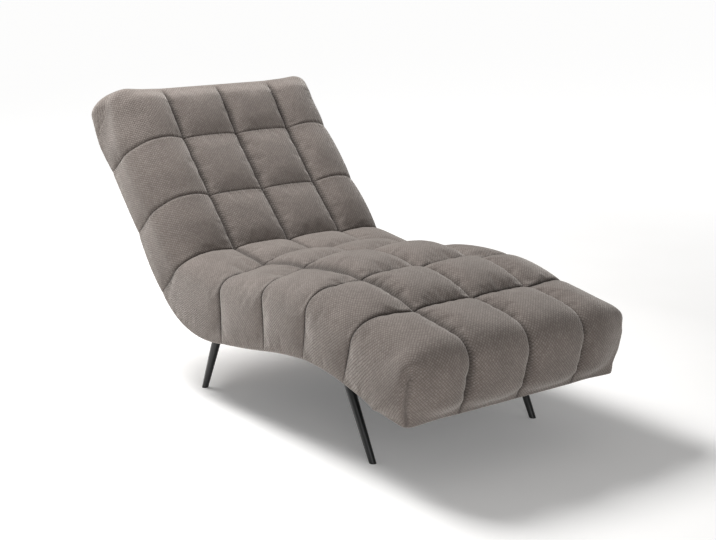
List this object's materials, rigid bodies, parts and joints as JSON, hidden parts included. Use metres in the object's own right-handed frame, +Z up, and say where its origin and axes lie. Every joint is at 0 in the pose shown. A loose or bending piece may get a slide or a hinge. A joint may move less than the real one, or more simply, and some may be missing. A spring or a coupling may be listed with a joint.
{
  "type": "upholstered lounger",
  "caption": "Fixed S-shaped relax lounger with a quilted taupe chenille cover on slim raked black steel legs.",
  "frame": {"origin": "on the floor, under the middle of the lounger", "axes": "+Z up, the foot end to -Y, the head end to +Y, the left of the person lying on it to +X"},
  "size_m": [0.8062, 1.6429, 0.9005],
  "materials": {
    "chenille": "taupe grey structured chenille over wadding",
    "foam": "open-cell polyurethane foam",
    "webbing": "elastic polypropylene webbing",
    "dust_cloth": "black spun-bonded dust cloth",
    "plywood": "raw birch plywood",
    "pine": "planed pine",
    "beech": "fluted beech",
    "hardboard": "thin hardboard",
    "black_steel": "satin black powder coat on steel",
    "zinc_steel": "zinc plated steel",
    "black_plastic": "moulded black polyethylene"
  },
  "bodies": {
    "root": {"cover_row_1": "chenille", "cover_row_2": "chenille", "cover_row_3": "chenille", "cover_row_4": "chenille", "cover_row_5": "chenille", "cover_row_6": "chenille", "cover_row_7": "chenille", "cover_row_8": "chenille", "outer_back_cover": "chenille", "back_foam": "foam", "seat_foam": "foam", "back_webbing": "webbing", "seat_webbing": "webbing", "dust_cover": "dust_cloth", "side_panel_left": "plywood", "side_panel_right": "plywood", "foot_board": "plywood", "head_rail": "pine", "back_rail": "pine", "lumbar_rail": "pine", "rear_leg_rail": "pine", "seat_rail": "pine", "front_leg_rail": "pine", "corner_blocks": "pine", "rail_dowels": "beech", "outer_back_board": "hardboard", "leg_front_left": "black_steel", "leg_front_right": "black_steel", "leg_rear_left": "black_steel", "leg_rear_right": "black_steel", "leg_plate_front_left": "black_steel", "leg_plate_front_right": "black_steel", "leg_plate_rear_left": "black_steel", "leg_plate_rear_right": "black_steel", "leg_studs": "zinc_steel", "plate_screws": "zinc_steel", "leg_glide_front_left": "black_plastic", "leg_glide_front_right": "black_plastic", "leg_glide_rear_left": "black_plastic", "leg_glide_rear_right": "black_plastic"}
  },
  "joints": []
}
